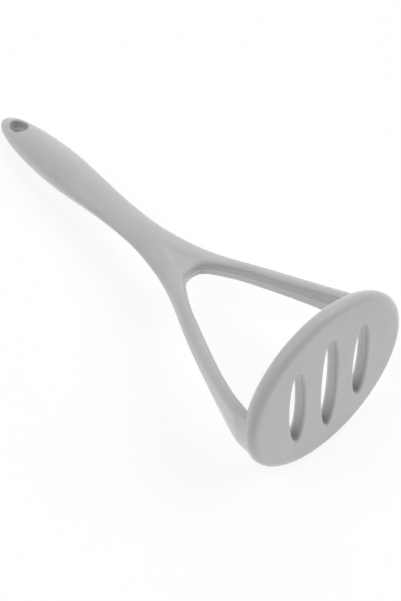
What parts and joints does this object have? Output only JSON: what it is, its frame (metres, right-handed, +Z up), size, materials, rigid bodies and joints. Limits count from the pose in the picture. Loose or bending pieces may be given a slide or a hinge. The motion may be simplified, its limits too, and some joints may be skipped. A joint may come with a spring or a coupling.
{
  "type": "potato masher",
  "caption": "Potato masher in one silicone moulding over a stiff core: slotted round plate, open fork with two arms, slim handle with a hanging hole.",
  "frame": {"origin": "on the table under the middle of the tool as it lies, at the middle of the bounding box's bottom face", "axes": "+X along the handle towards the mashing plate, +Y across the fork, +Z up from the table; the plate stands on its rim and the handle slopes down to rest on its end"},
  "size_m": [0.279, 0.1, 0.0987],
  "materials": {
    "silicone_skin": "matte",
    "nylon_core": "matte"
  },
  "bodies": {
    "root": {"silicone_skin": "silicone_skin", "nylon_core": "nylon_core"}
  },
  "joints": []
}
